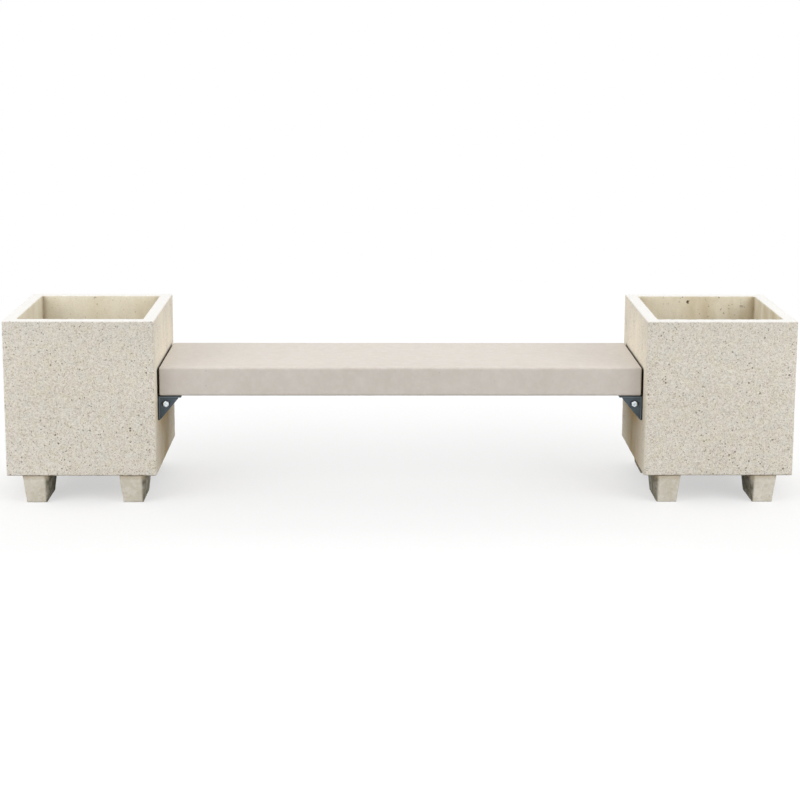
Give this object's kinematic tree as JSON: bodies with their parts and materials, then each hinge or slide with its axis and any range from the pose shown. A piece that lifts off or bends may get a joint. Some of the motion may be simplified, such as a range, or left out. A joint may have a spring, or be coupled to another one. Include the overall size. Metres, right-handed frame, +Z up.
{
  "type": "bench with planters",
  "caption": "Concrete seat slab held on steel brackets between square washed-concrete planter boxes that stand on small tapered feet.",
  "frame": {"origin": "on the ground, under the middle of the seat", "axes": "+X runs along the seat towards the right planter as seen from the front, +Y towards the back, +Z up"},
  "size_m": [2.62, 0.5, 0.62],
  "materials": {
    "washed_concrete": "washed concrete with small exposed aggregate, pale cement and scattered darker stones",
    "plain_concrete": "plain cast concrete straight from the mould, matt",
    "smooth_concrete": "smooth cast concrete, lightly sealed, with faint clouding",
    "painted_steel": "slate grey powder coat on steel plate",
    "zinc_steel": "zinc-plated steel",
    "dark_washer": "blackened steel washer",
    "pad_rubber": "matt black rubber"
  },
  "bodies": {
    "root": {"left_planter_box": "washed_concrete", "left_front_outer_foot": "plain_concrete", "left_front_inner_foot": "plain_concrete", "left_back_outer_foot": "plain_concrete", "left_back_inner_foot": "plain_concrete", "left_wall_pad": "pad_rubber", "left_wall_bracket": "painted_steel", "left_seat_pad": "pad_rubber", "left_seat_bracket": "painted_steel", "left_front_wall_socket": "zinc_steel", "left_front_wall_washer": "dark_washer", "left_front_wall_bolt": "zinc_steel", "left_front_seat_socket": "zinc_steel", "left_front_seat_washer": "dark_washer", "left_front_seat_bolt": "zinc_steel", "left_front_outer_ear_washer": "dark_washer", "left_front_inner_ear_washer": "dark_washer", "left_front_ear_bolt": "zinc_steel", "left_front_ear_nut": "zinc_steel", "left_back_wall_socket": "zinc_steel", "left_back_wall_washer": "dark_washer", "left_back_wall_bolt": "zinc_steel", "left_back_seat_socket": "zinc_steel", "left_back_seat_washer": "dark_washer", "left_back_seat_bolt": "zinc_steel", "left_back_outer_ear_washer": "dark_washer", "left_back_inner_ear_washer": "dark_washer", "left_back_ear_bolt": "zinc_steel", "left_back_ear_nut": "zinc_steel", "right_planter_box": "washed_concrete", "right_front_outer_foot": "plain_concrete", "right_front_inner_foot": "plain_concrete", "right_back_outer_foot": "plain_concrete", "right_back_inner_foot": "plain_concrete", "right_wall_pad": "pad_rubber", "right_wall_bracket": "painted_steel", "right_seat_pad": "pad_rubber", "right_seat_bracket": "painted_steel", "right_front_wall_socket": "zinc_steel", "right_front_wall_washer": "dark_washer", "right_front_wall_bolt": "zinc_steel", "right_front_seat_socket": "zinc_steel", "right_front_seat_washer": "dark_washer", "right_front_seat_bolt": "zinc_steel", "right_front_outer_ear_washer": "dark_washer", "right_front_inner_ear_washer": "dark_washer", "right_front_ear_bolt": "zinc_steel", "right_front_ear_nut": "zinc_steel", "right_back_wall_socket": "zinc_steel", "right_back_wall_washer": "dark_washer", "right_back_wall_bolt": "zinc_steel", "right_back_seat_socket": "zinc_steel", "right_back_seat_washer": "dark_washer", "right_back_seat_bolt": "zinc_steel", "right_back_outer_ear_washer": "dark_washer", "right_back_inner_ear_washer": "dark_washer", "right_back_ear_bolt": "zinc_steel", "right_back_ear_nut": "zinc_steel", "seat_slab": "smooth_concrete"}
  },
  "joints": []
}
